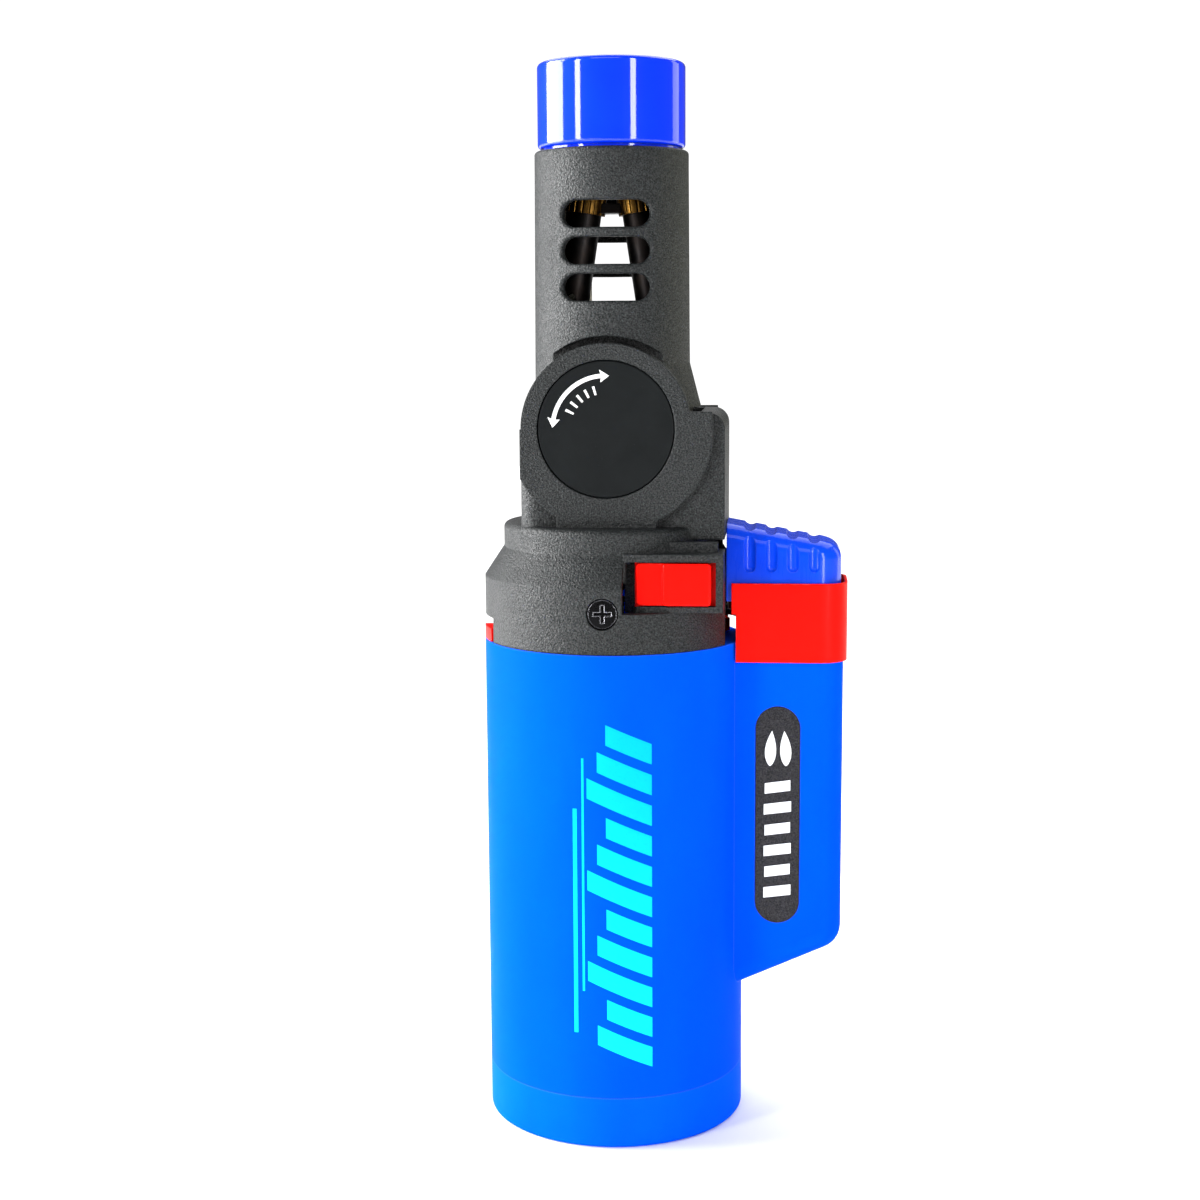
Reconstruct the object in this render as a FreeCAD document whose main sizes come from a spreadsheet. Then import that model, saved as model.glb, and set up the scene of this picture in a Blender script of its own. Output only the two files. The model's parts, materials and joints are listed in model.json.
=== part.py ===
import FreeCAD, Part
import math
import os
import re

from FreeCAD import Placement, Rotation, Vector

# Refillable pocket torch with twin flames, a pivoting head and a thumb trigger.
# Millimetres. +X is the trigger side, -Y the front, +Z up. The origin is on the tank's axis,
# in the plane of its flat base, at the mouth of the fill valve.

SIZES = {
    # Fuel tank, its base and its fin
    "tank_radius": 18.3, "tank_wall": 1.6, "tank_top": 69.0, "deck_low": 66.4,
    "base_top": 7.2, "base_floor": 1.8, "spigot_top": 10.2,
    "neck_radius": 16.0, "neck_bore": 13.6, "neck_top": 73.6,
    "fin_end": 32.35, "fin_half": 6.0, "fin_top": 69.6, "fin_corner": 3.6, "fin_foot": 19.0,
    "fin_slope": 24.2, "pocket_left": 19.2, "pocket_floor": 54.5, "pocket_half": 4.4,
    "label_x": 23.35, "label_low": 29.0, "label_high": 60.0, "label_radius": 3.07,
    # Housing: collar, shoulder, yoke
    "collar_radius": 18.2, "collar_low": 69.05, "collar_bore": 16.1, "cone_low": 77.95,
    "cone_high": 82.05, "tier_radius": 15.45, "tier_bore": 13.5, "tier_top": 85.45,
    "ceiling": 83.4, "flat_x": 16.0,
    "pad_left": 2.6, "pad_face": 15.6, "pad_low": 74.5, "pad_high": 82.3,
    "pivot_z": 98.75, "ring_radius": 11.55, "cover_radius": 9.25, "ear_in": 8.0,
    "web_out": 10.4, "ear_out": 11.5, "yoke_left": 11.7, "yoke_floor": 86.9,
    "wall_in": 12.6, "flange_top": 100.9, "lobe_radius": 13.95, "lobe_x": 0.55,
    "stem_half": 6.8, "tip_z": 92.9, "pin_radius": 3.0, "pin_head_radius": 5.0,
    "screw_z": 74.55,
    # Head
    "head_low_radius": 10.85, "head_radius": 10.62, "head_top": 136.25, "head_bore": 9.0,
    "tongue_half": 7.8, "tongue_radius": 11.0, "tongue_gap": 12.5, "cheek_in": 6.2,
    "slot_half": 5.8, "slot_height": 3.6, "slot_low_z": 117.7, "slot_pitch": 4.87,
    "cap_radius": 10.17, "cap_low": 136.6, "cap_top": 148.0, "cap_bore": 8.6,
    "guard_radius": 8.45, "guard_bore": 8.1,
    # Burner
    "tube_radius": 2.45, "tube_lean": 8.6, "tube_foot_x": 6.02, "block_top": 113.5,
    "block_low": 111.7, "nozzle_x": 3.3, "nozzle_radius": 2.75, "nozzle_top": 140.0,
    # Trigger and lock slider
    "trigger_left": 16.12, "trigger_end": 31.95, "trigger_low": 74.3, "trigger_travel": 3.6,
    "band_end": 32.85, "band_half": 6.65, "band_wall": 0.42, "band_low": 66.3, "band_high": 77.3,
    "rib_first": 19.35, "rib_pitch": 2.96, "thumb_slope": 10.7, "thumb_high": 85.3,
    "arm_low": 75.95, "arm_high": 77.35, "slider_left": 4.4, "slider_right": 14.4,
    "slider_low": 75.46, "slider_high": 81.1,
    # Outlet valve and gas lever
    "valve_radius": 3.4, "valve_top": 71.5, "lifter_low": 73.5, "lever_x": 3.2, "lever_z": 73.2,
    "lever_rise": 11.46,
}
VALVE_STEM_RADIUS = 1.2
PIN_CLEARANCE = 0.05
WIRE_RADIUS = 0.45
WIRE_SIDES = 8
HOSE_RADIUS = 1.9
HOSE_BORE = 1.25

doc = FreeCAD.newDocument("pocket_torch")
sheet = doc.addObject("Spreadsheet::Sheet", "Sizes")
for row, (name, value) in enumerate(SIZES.items(), start=1):
    sheet.set(f"A{row}", name)
    sheet.set(f"B{row}", str(value))
    sheet.setAlias(f"B{row}", name)
doc.recompute()

nodes = []


def linked(formula):
    """A formula in sheet names, written as a FreeCAD expression."""
    def cell(match):
        word = match.group(0)
        return "Sizes." + word if word in SIZES else word
    return re.sub(r"[a-z][a-z_]*", cell, str(formula))


def place(piece, x, y, z):
    for axis, formula in (("x", x), ("y", y), ("z", z)):
        piece.setExpression("Placement.Base." + axis, linked(formula))


def box(x, y, z):
    """A block between (low, high) pairs of formulas."""
    piece = doc.addObject("Part::Box", "Block")
    for prop, (low, high) in (("Length", x), ("Width", y), ("Height", z)):
        piece.setExpression(prop, linked(f"({high}) - ({low})"))
    place(piece, x[0], y[0], z[0])
    return piece


def rod(axis, centre, span, radius, sector=None):
    """A cylinder along X, Y or Z; centre holds the other two coordinates, in X, Y, Z order."""
    piece = doc.addObject("Part::Cylinder", "Rod")
    turn = {"X": Rotation(Vector(0, 1, 0), 90), "Y": Rotation(Vector(1, 0, 0), -90),
            "Z": Rotation()}[axis]
    if sector:
        start, sweep = sector
        piece.Angle = sweep
        turn = Rotation(Vector(0, 0, 1), start)
    piece.Placement = Placement(Vector(), turn)
    piece.setExpression("Radius", linked(radius))
    piece.setExpression("Height", linked(f"({span[1]}) - ({span[0]})"))
    spot = list(centre)
    spot.insert("XYZ".index(axis), span[0])
    place(piece, *spot)
    return piece


def cone(span, low_radius, high_radius, x=0, y=0):
    piece = doc.addObject("Part::Cone", "Taper")
    piece.setExpression("Radius1", linked(low_radius))
    piece.setExpression("Radius2", linked(high_radius))
    piece.setExpression("Height", linked(f"({span[1]}) - ({span[0]})"))
    place(piece, x, y, span[0])
    return piece


def ring(major, minor, z, x=0, y=0):
    piece = doc.addObject("Part::Torus", "Ring")
    piece.setExpression("Radius1", linked(major))
    piece.setExpression("Radius2", linked(minor))
    place(piece, x, y, z)
    return piece


def ball(x, y, z, radius):
    piece = doc.addObject("Part::Sphere", "Ball")
    piece.setExpression("Radius", linked(radius))
    place(piece, x, y, z)
    return piece


def fuse(*pieces):
    joined = doc.addObject("Part::MultiFuse", "Joined")
    joined.Shapes = list(pieces)
    joined.Refine = True
    return joined


def cut(base, *tools):
    result = doc.addObject("Part::Cut", "Cut")
    result.Base = base
    result.Tool = tools[0] if len(tools) == 1 else fuse(*tools)
    result.Refine = True
    return result


def common(first, second):
    result = doc.addObject("Part::Common", "Shared")
    result.Base = first
    result.Tool = second
    result.Refine = True
    return result


def group(pieces):
    joined = doc.addObject("Part::Compound", "Set")
    joined.Links = pieces
    return joined


def fuse_one(piece):
    """A wrapper that can be given a placement of its own."""
    return group([piece])


def rounded(piece, radius, pick):
    """Fillet the edges that pick(edge) chooses."""
    doc.recompute()
    edges = [(i, radius, radius) for i, edge in enumerate(piece.Shape.Edges, start=1) if pick(edge)]
    result = doc.addObject("Part::Fillet", "Rounded")
    result.Base = piece
    result.Edges = edges
    return result


def solid_feature(shape, name="Solid"):
    piece = doc.addObject("Part::Feature", name)
    piece.Shape = shape
    return piece


def node(label, piece):
    piece.Label = label
    nodes.append(piece)
    return piece


def mirrored_rear(piece):
    """The front piece's copy, turned half a turn about the Z axis."""
    wrapper = fuse_one(piece)
    wrapper.Placement = Placement(Vector(), Rotation(Vector(0, 0, 1), 180))
    return wrapper


def size(name):
    return float(getattr(sheet, name))


def middle(edge):
    return edge.BoundBox.Center


def along(edge, axis):
    """True for a straight edge that runs along X, Y or Z."""
    if edge.Curve.TypeId != "Part::GeomLine":
        return False
    direction = edge.Curve.Direction
    return abs(getattr(direction, axis)) > 0.999


def close(a, b, tolerance=0.02):
    return abs(a - b) < tolerance


def both_sides(low, high):
    """Mirror a (low, high) span of Y formulas to the front, low being nearer the middle."""
    return [(low, high), (f"-({high})", f"-({low})")]


def cross_rods(x, z, low, high, radius):
    """Two coaxial rods along Y, one on each side of the middle."""
    return [rod("Y", (x, z), span, radius) for span in both_sides(low, high)]


# ---------------------------------------------------------------- tank

def fin_outline(inset, top, left):
    """The fin's block, shrunk by inset on every side, with its sloping foot cut off."""
    slab = box((left, f"fin_end - {inset}"), (f"-fin_half + {inset}", f"fin_half - {inset}"),
               ("fin_foot - 6", top))
    foot = box((-10, 50), (-20, 20), (-30, 0))
    lift = size("fin_foot") + inset / math.cos(math.radians(size("fin_slope")))
    foot_turn = Rotation(Vector(0, 1, 0), -size("fin_slope"))
    wedge = fuse_one(foot)
    wedge.Placement = Placement(Vector(17.2, 0, lift), foot_turn)
    return cut(slab, wedge)


def make_tank():
    fin = fin_outline(0, "fin_top", 14)
    end = size("fin_end")
    fin = rounded(fin, size("fin_corner"), lambda e: along(e, "y") and close(middle(e).x, end)
                  and middle(e).z < 40)
    half = size("fin_half")

    def side_edge(edge):
        centre = middle(edge)
        return close(abs(centre.y), half) and centre.x > 18 and centre.z < 60
    fin = rounded(fin, size("fin_corner") - 0.6, side_edge)
    tank = rod("Z", (0, 0), ("base_top", "tank_top"), "tank_radius")
    neck = cut(rod("Z", (0, 0), ("tank_top - 1", "neck_top"), "neck_radius"),
               rod("Z", (0, 0), ("tank_top", "neck_top + 1"), "neck_bore"),
               rod("Z", (0, 0), ("tank_top", "neck_top + 1"), 20, sector=(148, 64)),
               box((11.9, 20), (-9.5, 9.5), ("tank_top", "neck_top + 1")),
               box((15.6, 20), (-20, 20), ("tank_top", "neck_top + 1")))
    bosses = [box((-2.3, 2.3), span, ("tank_top - 1", 77.2)) for span in both_sides(12.2, 15.8)]
    boss_trim = rod("Z", (0, 0), ("tank_top - 1", 78), "neck_radius - 0.1")
    bosses = [common(boss, boss_trim) for boss in bosses]
    posts = [box((2.0, 4.4), span, ("tank_top - 1", "lever_z + 1.4")) for span in both_sides(5.5, 7.0)]
    valve_boss = rod("Z", (0, 0), (60.5, "tank_top"), "valve_radius + 1.6")
    shell = fuse(tank, fin, neck, *bosses, *posts)
    cavity = fuse(rod("Z", (0, 0), ("base_top - 1", "deck_low"), "tank_radius - tank_wall"),
                  fin_outline(1.6, "pocket_floor - 1.6", 10))
    pocket = box(("pocket_left", "fin_end - 1.5"), ("-pocket_half", "pocket_half"),
                 ("pocket_floor", "fin_top + 1"))
    hollow = fuse(cut(shell, cavity), valve_boss)
    screw_bores = cross_rods(0, "screw_z", 11, 17, 0.9)
    label_seat = label_slab(0.05, 5.58, 7)
    deck_step = box((11.9, "pocket_left + 0.1"), (-9.5, 9.5), ("tank_top", "fin_top + 1"))
    return cut(hollow, pocket, deck_step, rod("Z", (0, 0), (55, 72), "valve_radius"),
               rod("Y", ("lever_x", "lever_z"), (-8, 8), 0.6), label_seat, *screw_bores)


def label_slab(grow, depth_in, depth_out):
    """An upright slab with round ends on the fin's front face."""
    radius = f"label_radius + {grow}"
    span = (f"-{depth_out}", f"-{depth_in}")
    return fuse(
        box((f"label_x - ({radius})", f"label_x + ({radius})"), span,
            ("label_low + label_radius", "label_high - label_radius")),
        rod("Y", ("label_x", "label_low + label_radius"), span, radius),
        rod("Y", ("label_x", "label_high - label_radius"), span, radius))


def make_base_cap():
    disc = rod("Z", (0, 0), (0, "base_top"), "tank_radius")
    edge_radius = 0.7
    disc = rounded(disc, edge_radius, lambda e: close(middle(e).z, 0) and e.Closed)
    dish = rod("Z", (0, 0), ("base_floor", "spigot_top + 1"), "tank_radius - tank_wall - 1.5")
    spigot = rod("Z", (0, 0), ("base_top - 1", "spigot_top"), "tank_radius - tank_wall - 0.03")
    boss = rod("Z", (0, 0), (0.5, 9), 6)
    return cut(fuse(cut(fuse(disc, spigot), dish), boss), rod("Z", (0, 0), (-1, 10), 3.9))


# ---------------------------------------------------------------- fill valve

def make_fill_valve():
    body = cut(rod("Z", (0, 0), (0, 9.5), 3.9), rod("Z", (0, 0), (-1, 3.2), 1.6),
               rod("Z", (0, 0), (3.2, 8.7), 2.4), rod("Z", (0, 0), (8, 10), 0.8))
    stem = fuse(rod("Z", (0, 0), (3.95, 5.0), 2.2), rod("Z", (0, 0), (3.3, 4.5), 1.2),
                rod("Z", (0, 0), (4.5, 8.2), 0.6))
    node("fill_valve_body", body)
    node("fill_valve_stem", stem)
    node("fill_valve_seal", ring(1.98, 0.36, 3.57))
    node("fill_valve_spring", spring(Vector(0, 0, 5.0), 3.7, 1.5, 0.2, 4))


def spring(foot, length, mean_radius, wire_radius, turns):
    """A compression spring of eight-sided wire along Z, between two flat seats."""
    rise = length - 2.4 * wire_radius
    helix = Part.makeLongHelix(rise / turns, rise, mean_radius)
    start = foot + Vector(0, 0, 1.2 * wire_radius)
    helix.translate(start)
    corners = []
    for i in range(WIRE_SIDES + 1):
        angle = 2 * math.pi * (i % WIRE_SIDES + 0.5) / WIRE_SIDES
        corners.append(start + Vector(mean_radius + wire_radius * math.cos(angle), 0,
                                      wire_radius * math.sin(angle)))
    coil = Part.Wire(helix.Edges).makePipeShell([Part.makePolygon(corners)], True, True)
    return solid_feature(coil, "Spring")


# ---------------------------------------------------------------- outlet valve, flame control

def make_outlet_valve():
    nipple = rod("Z", (0, 0), (57, 61.5), 1.0)
    barrel = rod("Z", (0, 0), (61, "valve_top"), "valve_radius")
    body = cut(fuse(barrel, nipple), rod("Z", (0, 0), (56, 63), 0.5),
               rod("Z", (0, 0), (62.0, 68.5), 2.5),
               rod("Z", (0, 0), (68, 72), VALVE_STEM_RADIUS + PIN_CLEARANCE))
    node("outlet_valve_body", body)
    stem = fuse(rod("Z", (0, 0), (63.6, 64.8), 2.1), rod("Z", (0, 0), (64, 78.5), VALVE_STEM_RADIUS),
                rod("Z", (0, 0), ("lifter_low", "lifter_low + 0.8"), 2.0))
    node("outlet_valve_stem", cut(stem, rod("Z", (0, 0), (66, 79), 0.4)))
    node("outlet_valve_seal", rod("Z", (0, 0), (62.05, 63.6), 1.9))
    node("outlet_valve_spring", spring(Vector(0, 0, 64.8), 3.7, 1.85, 0.2, 4))
    node("wick_tube", cut(rod("Z", (0, 0), (12, 60.9), 1.6), rod("Z", (0, 0), (11, 61), 1.02)))


def make_flame_adjuster():
    low, high = 69.15, 71.0
    handle_angle = 198
    hub = rod("Z", (0, 0), (low, high), 5.2)
    bar = box((-15.0, 14.0), (-2, 2), (low, high))
    handle = cut(rod("Z", (0, 0), (low, high), 18.3, sector=(172, 16)),
                 rod("Z", (0, 0), (low - 1, high + 1), 14.6))
    tab = box((13, 16.75), (-1.4, 1.4), (low, high))
    lever = fuse_one(fuse(hub, bar, handle, tab))
    lever.Placement = Placement(Vector(), Rotation(Vector(0, 0, 1), handle_angle - 180))
    return cut(lever, rod("Z", (0, 0), (low - 1, high + 1), "valve_radius + 0.06"))


def make_gas_lever():
    """Rocker: the long arm is pushed down by the trigger, the fork lifts the valve stem."""
    hub = rod("Y", (0, 0), (-5.2, 5.2), 1.1)
    long_arm = box((0, 9.4), (1.2, 2.4), (-0.15, 0.8))
    web = box((0, 1.6), (-4, 4), (-0.5, 0.5))
    prongs = [box((-4.0, 0), span, (-0.5, 0.5)) for span in both_sides(1.5, 2.7)]
    noses = [rod("Y", (-3.2, 0), span, 0.8) for span in both_sides(1.5, 2.7)]
    lever = cut(fuse(hub, long_arm, web, *prongs, *noses),
                rod("Y", (0, 0), (-6, 6), 0.65),
                box((-4.5, -1.45), (-1.5, 1.5), (-2, 2)))
    lever = fuse_one(lever)
    pivot = Vector(size("lever_x"), 0, size("lever_z"))
    lever.Placement = Placement(pivot, Rotation(Vector(0, 1, 0), -size("lever_rise")))
    return lever


# ---------------------------------------------------------------- housing

def make_housing():
    outer = fuse(rod("Z", (0, 0), ("collar_low", "cone_low"), "collar_radius"),
                 cone(("cone_low", "cone_high"), "collar_radius", "tier_radius"),
                 rod("Z", (0, 0), ("cone_high", "tier_top"), "tier_radius"))
    top = size("tier_top")
    outer = rounded(outer, 0.8, lambda e: close(middle(e).z, top) and e.Closed)
    pad = box(("pad_left", "flat_x"), ("-pad_face", -8), ("pad_low", "pad_high"))
    pad_clear = box(("pad_left", 25), (-25, "-pad_face"), ("pad_low", "pad_high"))
    trim = box(("flat_x", 30), (-30, 30), (60, 110))
    collar = cut(fuse(outer, pad), pad_clear, trim)
    cavity = fuse(rod("Z", (0, 0), ("collar_low - 1", "cone_low"), "collar_bore"),
                  cone(("cone_low", "cone_high"), "collar_bore", "tier_bore"),
                  rod("Z", (0, 0), ("cone_high", "ceiling"), "tier_bore"))
    cavity = cut(cavity, box((14.4, 20), (-20, 20), (60, 100)))
    collar = cut(collar, cavity)
    guide = box((2.6, 15.2), (-12.8, -11.8), (74.1, "ceiling + 0.3"))
    lug = box((15.0, 17.0), (8.6, 10.3), (71.4, 75.2))
    housing = fuse(cut(fuse(collar, guide, make_yoke()), *housing_openings()), lug)
    front = common(housing, box((-40, 40), (-40, 0), (60, 120)))
    rear = common(housing, box((-40, 40), (0, 40), (60, 120)))
    node("housing_front", front)
    node("housing_rear", rear)


def make_yoke():
    """Two ears on a neck block, joined on the trigger side by an upright guard wall."""
    neck = box(("-yoke_left - 0.3", "flat_x"), ("-web_out", "web_out"), ("ceiling + 0.4", "tip_z"))
    left = -size("yoke_left") - 0.3
    neck = rounded(neck, 2.4, lambda e: along(e, "z") and close(middle(e).x, left))
    riser = box(("-yoke_left", 0), ("-web_out", "web_out"), ("tip_z - 1", "pivot_z"))
    guard = box((0, "flat_x"), ("-web_out", "web_out"), ("tip_z - 1", "flange_top"))
    edge, top = size("flat_x"), size("flange_top")
    guard = rounded(guard, 2.2, lambda e: along(e, "y") and close(middle(e).x, edge)
                    and close(middle(e).z, top))
    drum = rod("Y", (0, "pivot_z"), ("-web_out", "web_out"), "ring_radius")
    plates = [make_ear_plate(span) for span in both_sides("web_out", "ear_out")]
    slot = box((-30, "wall_in"), ("-ear_in", "ear_in"), ("yoke_floor", 120))
    return cut(fuse(neck, riser, guard, drum, *plates), slot)


def make_ear_plate(span):
    """Raised face of an ear: a ring, a wider lobe below it and a stem down to the shoulder."""
    face = rod("Y", (0, "pivot_z"), span, "ring_radius")
    lobe = rod("Y", ("lobe_x", "pivot_z"), span, "lobe_radius")
    left_clip = box(("-yoke_left", 0.5), (-20, 20), ("pivot_z - 20", "pivot_z"))
    right_clip = box((0, 20), (-20, 20), ("pivot_z - 20", "flange_top + 0.2"))
    lobe = common(lobe, fuse(left_clip, right_clip))
    stem = box(("-stem_half", "stem_half"), span, ("ceiling + 0.4", "pivot_z - 5"))
    return fuse(face, lobe, stem)


def housing_openings():
    """Everything that is cut out of the housing."""
    notch = cut(rod("Z", (0, 0), ("collar_low - 1", 72.5), 20, sector=(152, 56)),
                rod("Z", (0, 0), ("collar_low - 2", 73), 10))
    throat = box((-6.4, 4.4), (-5.4, 5.4), ("ceiling - 1", "yoke_floor + 1"))
    adjuster_slot = box((13, 17), (-6.6, 6.6), ("collar_low - 1", 73.0))
    arm_slot = box((13, 17), (-2.8, 2.8), (72.0, "arm_high + 0.5"))
    window = box((2.95, 15.0), (-17, -13), ("slider_low - 0.15", "slider_high + 0.15"))
    slider_room = box((2.6, 15.4), (-14.4, -12.9), (74.8, 81.8))
    bar_way = box((7.4, 11.7), (-13.3, -9), (73.75, 76.2))
    openings = [notch, throat, adjuster_slot, arm_slot, window, slider_room, bar_way]
    openings += cross_rods(0, "screw_z", 17.0, 19, 2.15)
    openings += cross_rods(0, "screw_z", 15, 18, 1.1)
    openings += cross_rods(0, "pivot_z", "ear_out - 1.15", 13, "cover_radius + 0.1")
    openings += cross_rods(0, "pivot_z", 9.3, 11, "pin_head_radius + 0.05")
    openings += cross_rods(0, "pivot_z", 7, 10, "pin_radius")
    openings += cross_rods(0, "pivot_z", 7, 8.5, 6.0)
    return openings


def make_covers():
    for label, span in (("pivot_cover_front", (-11.38, -10.38)), ("pivot_cover_rear", (10.38, 11.38))):
        cover = rod("Y", (0, "pivot_z"), span, "cover_radius")
        outer = max(span, key=abs)
        cover = rounded(cover, 0.25, lambda e: e.Closed and close(middle(e).y, outer))
        node(label, cover)


def make_screw():
    """Cross-head screw that holds one housing half to the tank's neck."""
    head = rod("Y", (0, "screw_z"), (-17.95, -17.0), 1.95)
    shank = rod("Y", (0, "screw_z"), (-17.0, -12.4), 0.86)
    reach, half = 1.2, 0.24
    arms = [box((-wide, wide), (-19, -17.4), (f"screw_z - {tall}", f"screw_z + {tall}"))
            for wide, tall in ((reach, half), (half, reach))]
    return cut(fuse(head, shank), *arms)


def make_pivot_set():
    heads = cross_rods(0, "pivot_z", 9.32, 10.3, "pin_head_radius")
    shanks = cross_rods(0, "pivot_z", 5.6, 9.6, "pin_radius - 0.05")
    node("pivot_pins", group([fuse(head, shank) for head, shank in zip(heads, shanks)]))
    discs = cross_rods(0, "pivot_z", 7.92, 8.48, 5.7)
    holes = cross_rods(0, "pivot_z", 7, 9, "pin_radius + 0.15")
    node("pivot_washers", group([cut(disc, hole) for disc, hole in zip(discs, holes)]))


# ---------------------------------------------------------------- head

def yoke_rooms():
    """The space that each ear needs as the head turns past it."""
    return cross_rods(0, "pivot_z", "tongue_half", 14, "tongue_gap")


def make_head_shell():
    barrel = cone(("pivot_z", "head_top"), "head_low_radius", "head_radius")
    top = size("head_top")
    barrel = rounded(barrel, 0.5, lambda e: e.Closed and close(middle(e).z, top))
    drum = rod("Y", (0, "pivot_z"), ("-tongue_half", "tongue_half"), "tongue_radius")
    skirt = common(cone(("flange_top + 0.5", 107.6), 12.35, 10.75),
                   box((0, 20), ("-tongue_half", "tongue_half"), (95, 110)))
    body = cut(fuse(barrel, drum, skirt), *yoke_rooms())
    room = fuse(rod("Z", (0, 0), ("block_low", "head_top + 1"), "head_bore"),
                rod("Z", (0, 0), (130, "head_top + 1"), "head_bore + 0.4"),
                box(("-head_bore + 0.6", "head_bore - 0.6"), ("-cheek_in", "cheek_in"),
                    ("pivot_z", "block_low + 0.5")),
                rod("Y", (0, "pivot_z"), ("-cheek_in", "cheek_in"), 9.4),
                box((-13, 3.4), (-5.3, 5.3), (86, 95.5)))
    slots = [make_slot(i) for i in range(3)]
    axle = rod("Y", (0, "pivot_z"), (-9, 9), "pin_radius")
    shell = cut(body, room, axle, *slots)

    def slot_rim(edge):
        if not 114 < middle(edge).z < 131:
            return False
        spots = [edge.valueAt(edge.FirstParameter + t * (edge.LastParameter - edge.FirstParameter))
                 for t in (0, 0.5, 1)]
        return all(math.hypot(spot.x, spot.y) > size("head_radius") - 0.1 for spot in spots)
    return rounded(shell, 0.4, slot_rim)


def make_slot(index):
    """One air slot with round ends, cut straight through both walls."""
    z = f"slot_low_z + {index} * slot_pitch"
    reach = "(slot_half - slot_height / 2)"
    return fuse(box((f"-{reach}", reach), (-15, 15), (f"{z} - slot_height / 2", f"{z} + slot_height / 2")),
                rod("Y", (reach, z), (-15, 15), "slot_height / 2"),
                rod("Y", (f"-{reach}", z), (-15, 15), "slot_height / 2"))


def make_head_cap():
    """Coloured ring round the flame mouth, with a spigot that sits in the head."""
    body = rod("Z", (0, 0), ("cap_low", "cap_top"), "cap_radius")
    top, low = size("cap_top"), size("cap_low")
    body = rounded(body, 0.6, lambda e: e.Closed and (close(middle(e).z, top) or close(middle(e).z, low)))
    spigot = rod("Z", (0, 0), (132.5, "cap_low + 1"), "head_bore + 0.35")
    return cut(fuse(body, spigot), rod("Z", (0, 0), (130, "cap_top + 1"), "guard_radius + 0.02"))


def make_burner():
    guard = cut(rod("Z", (0, 0), (130.5, "cap_top - 0.8"), "guard_radius"),
                rod("Z", (0, 0), (130, "cap_top + 1"), "guard_bore"))
    node("flame_guard", guard)
    plate = cut(rod("Z", (0, 0), (133, 134.2), "guard_bore - 0.02"),
                rod("Z", ("nozzle_x", 0), (132, 135), "nozzle_radius + 0.03"),
                rod("Z", ("-nozzle_x", 0), (132, 135), "nozzle_radius + 0.03"),
                rod("Z", (-4.4, 4.6), (132, 135), 1.2))
    node("nozzle_plate", plate)
    inlet = fuse(rod("Z", (0, 0), (104.5, "block_low + 0.5"), 1.2),
                 rod("Z", (0, 0), (109, "block_low + 0.5"), 5.2))
    block = rod("Z", (0, 0), ("block_low + 0.02", "block_top"), "head_bore - 0.04")
    jets = [rod("Z", (f"{side} * tube_foot_x", 0), ("block_top - 1.5", "block_top + 1"), 0.6)
            for side in (-1, 1)]
    gallery = rod("X", (0, 112.5), ("-tube_foot_x", "tube_foot_x"), 0.5)
    lead_hole = rod("Z", (-4.4, 4.6), (108, 115), WIRE_RADIUS + 0.25)
    node("burner_block", cut(fuse(inlet, block), rod("Z", (0, 0), (104, 112.5), 0.4), gallery,
                             lead_hole, *jets))
    spacer = box((-3.6, 3.6), (-1.7, 1.7), (127.9, 129.2))
    sleeves = [lean(rod("Z", (0, 0), (10, 18), "tube_radius + 0.54"), side) for side in (-1, 1)]
    node("burner_spacer", cut(spacer, *sleeves))
    for label, side in (("left", -1), ("right", 1)):
        node(f"burner_tube_{label}", make_burner_tube(side))
        node(f"flame_nozzle_{label}", make_nozzle(side))


def lean(piece, side):
    """Stand an upright piece on the burner block, leaning towards the head's axis."""
    tilted = fuse_one(piece)
    foot = Vector(side * size("tube_foot_x"), 0, size("block_top") + 0.4)
    tilted.Placement = Placement(foot, Rotation(Vector(0, 1, 0), -side * size("tube_lean")))
    return tilted


def make_burner_tube(side):
    bore = 1.75
    tube = cut(rod("Z", (0, 0), (0, 16.6), "tube_radius"), rod("Z", (0, 0), (-1, 18), bore),
               rod("Y", (0, 2.4), (-4, 4), 0.8))
    return lean(tube, side)


def make_nozzle(side):
    """Brass flame nozzle: a fluted sleeve on the leaning tube, then an upright tip."""
    sleeve_low, sleeve_high = 14.2, 17.0
    flutes = 20
    sleeve = rod("Z", (0, 0), (sleeve_low, sleeve_high), "tube_radius + 0.5")
    grooves = []
    for i in range(flutes):
        turn = 2 * math.pi * i / flutes
        reach = size("tube_radius") + 0.62
        grooves.append(rod("Z", (reach * math.cos(turn), reach * math.sin(turn)),
                           (sleeve_low - 1, sleeve_high - 0.5), 0.24))
    sleeve = lean(cut(sleeve, *grooves), side)
    tip = rod("Z", (f"{side} * nozzle_x", 0), (130.0, "nozzle_top"), "nozzle_radius")
    throat = rod("Z", (f"{side} * nozzle_x", 0), (131.4, "nozzle_top + 1"), "nozzle_radius - 0.7")
    seat = lean(rod("Z", (0, 0), (sleeve_low - 2, 16.62), "tube_radius + 0.02"), side)
    feed = lean(rod("Z", (0, 0), (16, 19), 1.4), side)
    return cut(fuse(sleeve, tip), throat, seat, feed)


def make_igniter_tip():
    insulator = rod("Z", (-4.4, 4.6), (114, 131.5), 1.1)
    node("electrode_insulator", insulator)
    wire = 0.35
    low = rod("Z", (-4.4, 4.6), (131.5, 140.4), wire)
    start = Vector(-4.4, 4.6, 140.4)
    end = Vector(-1.2, 1.9, 142.4)
    reach = (end - start).Length
    hook = Part.makeCylinder(wire, reach, start, end - start)
    knuckle = ball(-4.4, 4.6, 140.4, wire)
    node("spark_electrode", fuse(low, knuckle, solid_feature(hook, "Hook")))


# ---------------------------------------------------------------- trigger, piezo, lock

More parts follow.
